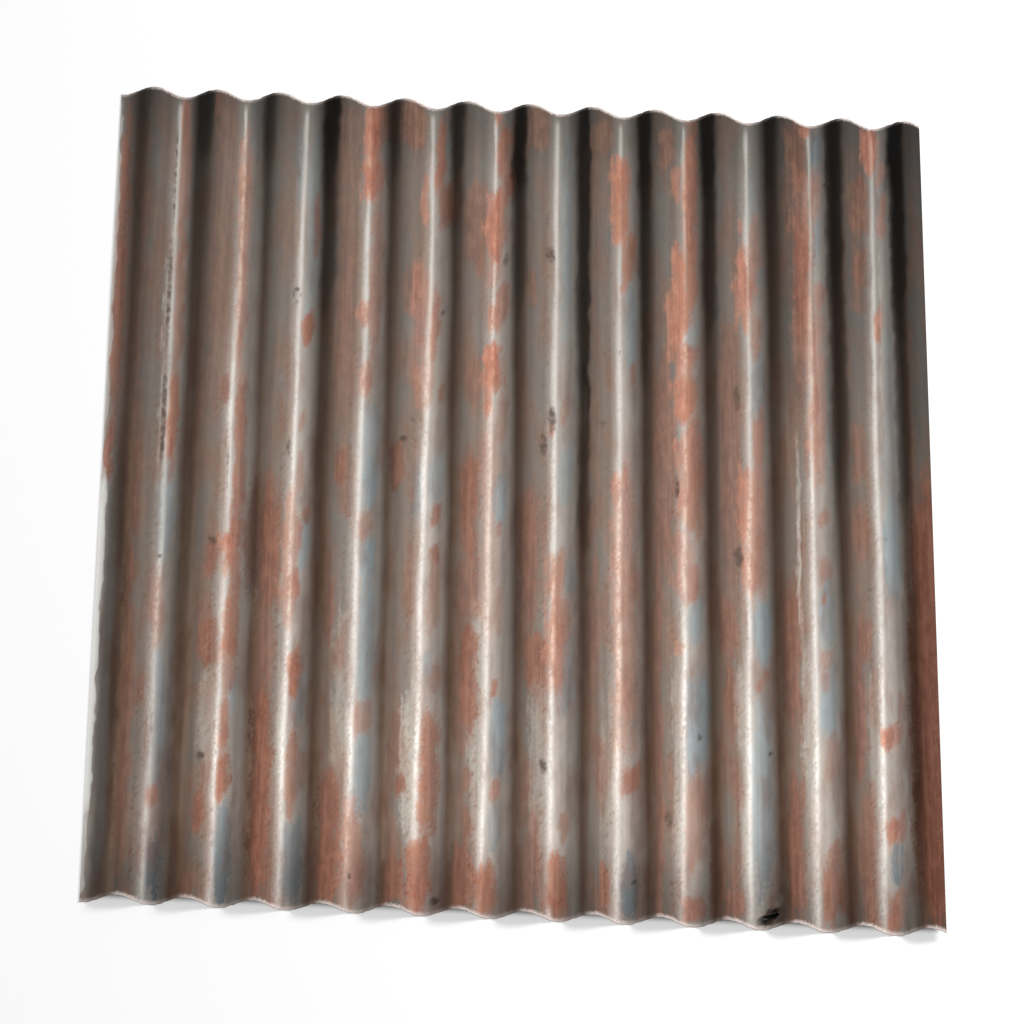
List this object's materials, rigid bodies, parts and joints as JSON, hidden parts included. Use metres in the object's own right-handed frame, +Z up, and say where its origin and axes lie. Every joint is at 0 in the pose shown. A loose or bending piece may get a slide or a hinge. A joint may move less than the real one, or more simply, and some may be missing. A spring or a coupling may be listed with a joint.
{
  "type": "corrugated metal sheet",
  "caption": "Weathered galvanised corrugated steel sheet with round waves along its length, for roofing, cladding and fencing, rusted along its troughs and torn at an old nail.",
  "frame": {"origin": "on the floor, under the middle of the sheet's footprint", "axes": "+Y along the corrugations, which is the sheet's length, +X across them, +Z up through the sheet's depth"},
  "size_m": [0.973, 1.2, 0.0179],
  "materials": {
    "galvanised_steel": "dull weathered zinc, rusted brown and salmon along the troughs"
  },
  "bodies": {
    "root": {"corrugated_sheet": "galvanised_steel"}
  },
  "joints": []
}
